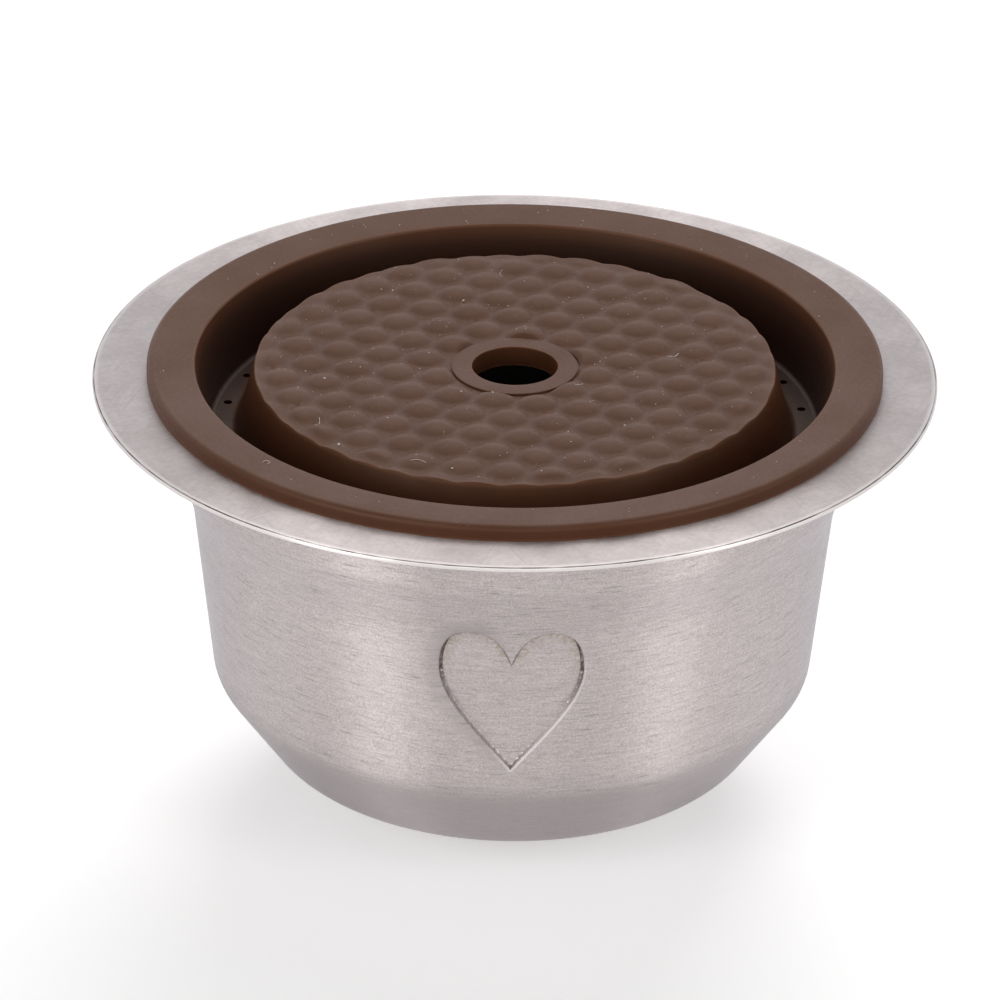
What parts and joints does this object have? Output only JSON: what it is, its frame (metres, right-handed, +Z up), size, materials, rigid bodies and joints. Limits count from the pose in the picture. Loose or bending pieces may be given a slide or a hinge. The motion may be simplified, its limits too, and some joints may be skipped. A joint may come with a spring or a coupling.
{
  "type": "refillable coffee pod",
  "caption": "Reusable coffee pod: a drawn steel cup with a wide flat flange and a rounded base, closed by a plug-in silicone lid with a domed middle and a centre hole.",
  "frame": {"origin": "centre of the cup's flat base, on the surface that it stands on", "axes": "+Z up along the pod's centre line, -Y towards the pressed mark"},
  "size_m": [0.062, 0.062, 0.034],
  "materials": {
    "satin_steel": "satin stainless, fine brushing round the wall",
    "brown_silicone": "matt moulded silicone"
  },
  "bodies": {
    "root": {"steel_cup": "satin_steel", "silicone_lid": "brown_silicone"}
  },
  "joints": []
}
